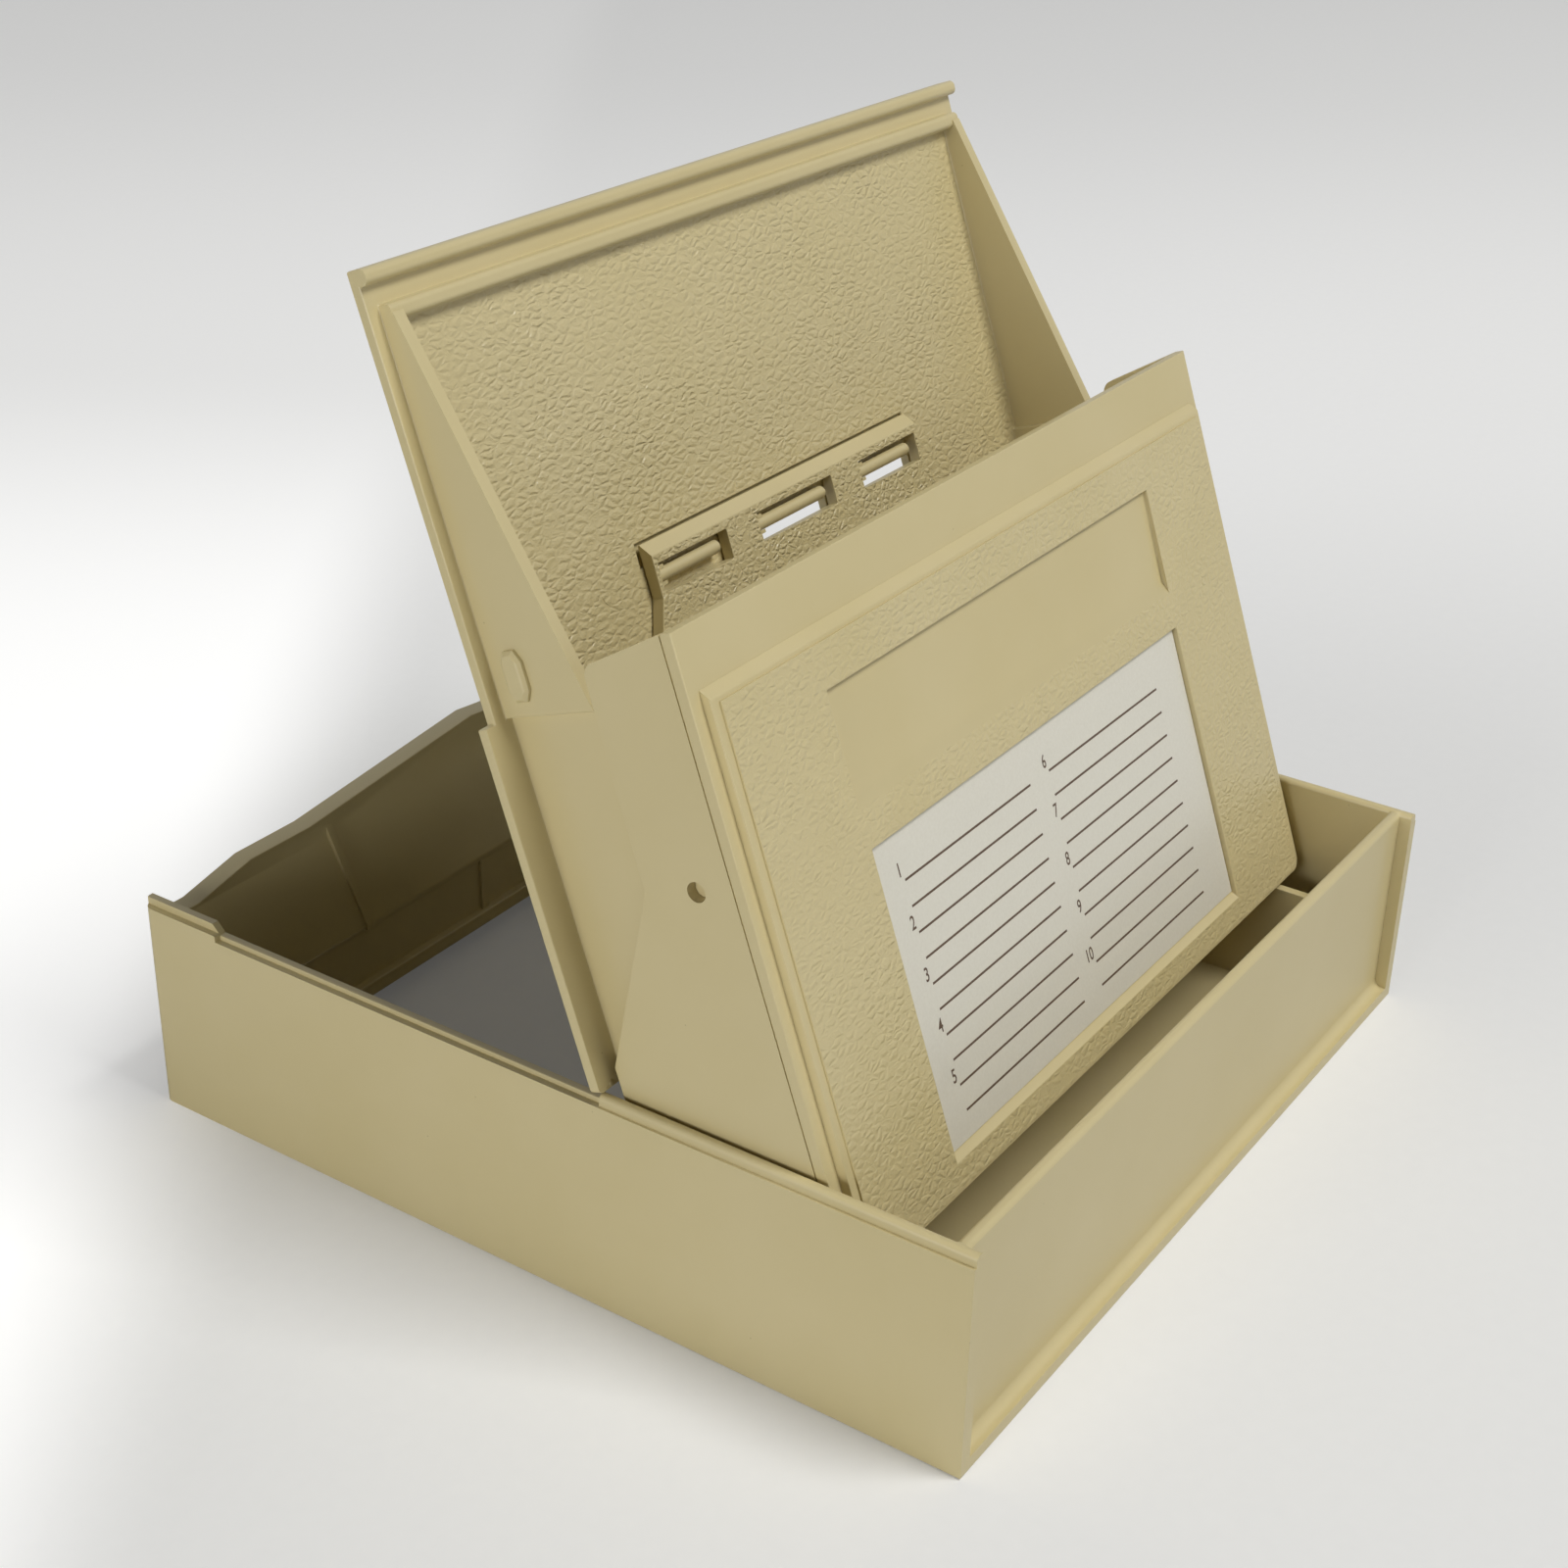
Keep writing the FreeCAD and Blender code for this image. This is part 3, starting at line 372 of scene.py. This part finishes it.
tray = moulding("base_tray", "tray_moulding", 0.35)
cover = moulding("back_cover", "cover_moulding", 0.3)
bin_front = moulding("front_bin", "bin_moulding", 0.3)
plate = moulding("support_plate", "support_plate_moulding", 0.2)
card = moulding("index_card", "index_card_sheet", 0.04, card_paper)

# %% [markdown]
# ## Where the grain lies
# Only the faces that a hand or an eye meets are grained: the inside of the cover between
# its two cheeks, the front of the swinging plate, and the raised panel of the bin. The
# recesses and the rims stay smooth. Each face is chosen by where its middle lies and by
# which way it looks, and then gets the grained finish as a second material.

# %% Give the grained faces their finish
FACING = Vector((0, -math.cos(LEAN), math.sin(LEAN)))


def grain(piece, finish, origin, out, half_width, low, high):
    """Gives the faces at this depth and height the grained finish."""
    piece.data.materials.append(finish)
    area = 0
    for face in piece.data.polygons:
        x, up, depth = unslope(origin, face.center)
        level = face.normal.dot(FACING) > 0.999 and abs(depth - out) < 0.05
        if level and abs(x) < half_width and low < up < high:
            face.material_index = 1
            area += face.area
    print(piece.name, "grained area", round(area / MM**2), "mm2")


grain(cover, cover_grain, COVER_SEAT, 0.0, 75.8, -5, 120.2)
grain(plate, plate_grain, COVER_SEAT, 2.5, 60, -5, 80)
grain(bin_front, panel_grain, BIN_PIVOT, 10.74, 76, -70, 32)

# %% [markdown]
# ## Ejector marks
# Pins push a moulding out of its tool, and each leaves a faint ring. Five of them show on
# the cover's inner face. Each is a flat disk, six millimetres wide, standing a few
# hundredths of a millimetre out of the grain. It is cut from a cylinder whose upper rim
# is bevelled, so that only a thin ring of light gives it away.

# %% A helper that lays a flat piece on a leaning face
def onto_slope(piece, origin, x, up, out):
    """Turns a piece modelled flat, facing up, onto a leaning face."""
    only(piece)
    ops.object.mode_set(mode="EDIT")
    ops.mesh.select_all(action="SELECT")
    ops.transform.rotate(value=LEAN - math.pi / 2, orient_axis="X", center_override=(0, 0, 0))
    ops.transform.translate(value=slope(origin, x, up, out))
    ops.object.mode_set(mode="OBJECT")


# %% Ejector marks on the cover
EJECTORS = ((68.8, 103.3), (1.0, 82.3), (-47.6, 70.4), (44.5, 70.2), (67.5, 65.7))
marks = []
for x, up in EJECTORS:
    ops.object.select_all(action="DESELECT")
    ops.mesh.primitive_cylinder_add(vertices=48, radius=2.9 * MM, depth=0.16 * MM)
    mark = bpy.context.object
    ops.object.mode_set(mode="EDIT")
    ops.mesh.select_all(action="SELECT")
    ops.mesh.bevel(offset=0.06 * MM, segments=2, affect="EDGES")
    ops.object.mode_set(mode="OBJECT")
    onto_slope(mark, COVER_SEAT, x, up, -0.02)
    marks.append(mark)


def joined(parts, name, finish, body):
    """Joins these pieces into one, names it, gives it its finish and lets it move with a body."""
    only(parts[0])
    for part in parts:
        part.select_set(True)
    if len(parts) > 1:
        ops.object.join()
    whole = bpy.context.object
    whole.name = whole.data.name = name
    whole.data.materials.clear()
    whole.data.materials.append(finish)
    for face in whole.data.polygons:
        face.material_index = 0
    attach(whole, body)
    return measured(whole)


joined(marks, "cover_ejector_marks", cover_grain, "cover")

# %% [markdown]
# ## Printed lines and numbers
# The card is ruled for ten entries in two columns. Print is a film of ink a hundredth of a
# millimetre thick, so the lines are very flat boxes that lie on the card. The
# numbers are text turned into a mesh, so that they keep their shape in any program.

# %% Ruled lines on the index card
CARD_TOP = 9.84
LINES = [round(-13.7 - 4.39 * i, 2) for i in range(10)]
COLUMNS = ((-44.15, -5.0), (1.3, 40.8))
rows = []
for left, right in COLUMNS:
    for up in LINES:
        ops.object.select_all(action="DESELECT")
        ops.mesh.primitive_cube_add(size=1)
        line = bpy.context.object
        ops.object.mode_set(mode="EDIT")
        ops.mesh.select_all(action="SELECT")
        ops.transform.resize(value=((right - left) * MM, 0.4 * MM, 0.012 * MM))
        ops.mesh.bevel(offset=0.003 * MM, segments=1, affect="EDGES")
        ops.object.mode_set(mode="OBJECT")
        onto_slope(line, BIN_PIVOT, (left + right) / 2, up, CARD_TOP + 0.006)
        rows.append(line)
joined(rows, "index_card_ruled_lines", brown_ink, "bin")

# %% Numbers beside every second line
numbers = []
for column, (left, right) in enumerate(COLUMNS):
    for k in range(5):
        ops.object.select_all(action="DESELECT")
        ops.object.text_add()
        text = bpy.context.object
        text.data.body = str(1 + k + 5 * column)
        text.data.size = 3.3 * MM
        text.data.align_x = "RIGHT"
        text.data.offset = 0.04 * MM
        text.data.extrude = 0.006 * MM
        text.data.resolution_u = 4
        ops.object.convert(target="MESH")
        only(bpy.context.object)
        ops.object.mode_set(mode="EDIT")
        ops.mesh.select_all(action="SELECT")
        ops.transform.resize(value=(0.78, 1, 1), center_override=(0, 0, 0))
        ops.object.mode_set(mode="OBJECT")
        onto_slope(bpy.context.object, BIN_PIVOT, left - 0.25, LINES[2 * k] + 0.9, CARD_TOP + 0.006)
        numbers.append(bpy.context.object)
joined(numbers, "index_card_numbers", brown_ink, "bin")

# %% [markdown]
# ## Table
# The box stands on a pale grey table that runs on out of the picture. In the photograph
# the table is almost evenly white, because light comes back to it from walls that don't
# show. A whiter table would throw more light up at the box and flatten its tones. So the
# table keeps a middling grey and gets painted light, a soft glow that only the camera sees.
# The painted light is strongest on the left, where the box keeps the lamps away, so it
# paints out the box's shadow there. It is weaker inside the tray, where the table shows
# through the open floor, so the table there is left darker as painted shade.

# %% Table
ops.object.select_all(action="DESELECT")
ops.mesh.primitive_plane_add(size=8, location=(0, 0, 0))
table = bpy.context.object
table.name = "pale_table"
table_top, t, out = blank("pale_table_top")
place = add(t, "TexCoord").outputs["Object"]
speck = add(t, "TexNoise", Vector=place, Scale=1 / (3 * MM), Detail=2.0).outputs["Fac"]


def along(direction, start, end, low, high):
    """A smooth change from low to high over a stretch of the table, in metres."""
    reach = add(t, "VectorMath", {"operation": "DOT_PRODUCT"}, i0=place, i1=direction)
    return smooth_step(t, reach.outputs["Value"], start, end, low, high)


left, ahead = (-0.56, 0.83, 0), (0.83, 0.56, 0)
# Painted light: a glow seen only by the camera, raised on the left to cover the box's shadow there.
painted_light = maths(t, "MULTIPLY", along(left, 0.09, 0.14, 0.0, 0.38), along(ahead, 0.1, 0.4, 1.0, 0.1))
painted_light = maths(t, "ADD", painted_light, along(ahead, 0.05, 0.35, 0.16, 0.27))
painted_light = maths(t, "ADD", painted_light, along(ahead, 0.4, 0.9, 0.0, -0.07))
offset = add(t, "VectorMath", {"operation": "ABSOLUTE"}, i0=place).outputs[0]
offset = add(t, "SeparateXYZ", Vector=offset)
# Painted shade: inside the tray the painted light drops to 0.4, so the table seen there stays dark.
across = maths(t, "LESS_THAN", offset.outputs["X"], 80 * MM)
deep = maths(t, "LESS_THAN", offset.outputs["Y"], 81 * MM)
inside = maths(t, "MULTIPLY", across, deep)
share = add(t, "MapRange", Value=inside, To_Min=1.0, To_Max=0.4).outputs[0]
painted_light = maths(t, "MULTIPLY", painted_light, share)
seen = maths(t, "MULTIPLY", painted_light, add(t, "LightPath").outputs["Is Camera Ray"])
lit = {"Emission_Color": (1, 1, 1, 1), "Emission_Strength": seen}
pale = blend(t, speck, "#DBDBD9", "#D8D8D6")
shader = add(t, "BsdfPrincipled", Base_Color=pale, Roughness=0.75, IOR=1.45, **lit)
t.links.new(shader.outputs[0], out.inputs["Surface"])
table.data.materials.append(table_top)

# %% [markdown]
# ## Light
# Three wide softboxes light the box, and their places and strengths were matched to the
# tones of the photograph: a key lamp high above the front, a weak one low in front, and one
# so low at the left that it lights the outside of the tray far more than its inside. The
# box was first rendered once for every lamp of a ring around it, and these pictures were
# mixed to see which lamps give the tones of the photograph. Hardly any light comes from
# behind, so the tray stays dark behind the cover. The room itself is dark, and is pale only
# for rays that mirror off a surface, so that edges and flat tops pick up the sheen of satin
# plastic.

# %% Lamps and room
world = bpy.data.worlds.new("dim_room")
bpy.context.scene.world = world
world.use_nodes = True
t = world.node_tree
t.nodes["Background"].inputs["Color"].default_value = (1, 1, 1, 1)
mirrored = add(t, "MapRange", Value=add(t, "LightPath").outputs["Is Glossy Ray"], To_Min=0.03, To_Max=0.6)
t.links.new(mirrored.outputs[0], t.nodes["Background"].inputs["Strength"])


def softbox(name, side, rise, away, size, power):
    """A square area lamp, seen from the box at these angles in degrees, aimed at the box."""
    lamp = bpy.data.lights.new(name, "AREA")
    lamp.size, lamp.energy = size, power
    made = bpy.data.objects.new(name, lamp)
    bpy.context.scene.collection.objects.link(made)
    a, e = math.radians(side), math.radians(rise)
    toward = Vector((math.sin(a) * math.cos(e), -math.cos(a) * math.cos(e), math.sin(e)))
    made.location = Vector((0, 0, 0.08)) + toward * away
    made.rotation_euler = toward.to_track_quat("Z", "Y").to_euler()
    print(name, "at", [round(c, 2) for c in made.location])


softbox("key_softbox", 15, 60, 3.0, 1.1, 65)
softbox("left_softbox", -92, 7, 3.0, 1.2, 48)
softbox("front_softbox", 5, 20, 3.0, 1.4, 10)

# %% [markdown]
# ## Camera
# The box is seen from its front left corner, from about as high as a person sitting at
# the table. The lens is fairly long, so the edges stay nearly parallel.

# %% Camera
eye = bpy.data.objects.new("camera", bpy.data.cameras.new("camera"))
bpy.context.scene.collection.objects.link(eye)
eye.location = (-0.3292, -0.21415, 0.2612)
eye.data.lens, eye.data.sensor_width = 56.925, 36
eye.rotation_mode = "QUATERNION"
level = Euler((math.radians(90 - 27.653), 0, math.radians(-56.292))).to_quaternion()
eye.rotation_quaternion = level @ Quaternion((0, 0, 1), math.radians(1.304))
eye.data.clip_start, eye.data.clip_end = 0.01, 50
bpy.context.scene.camera = eye
bpy.context.scene.view_settings.view_transform = "Standard"
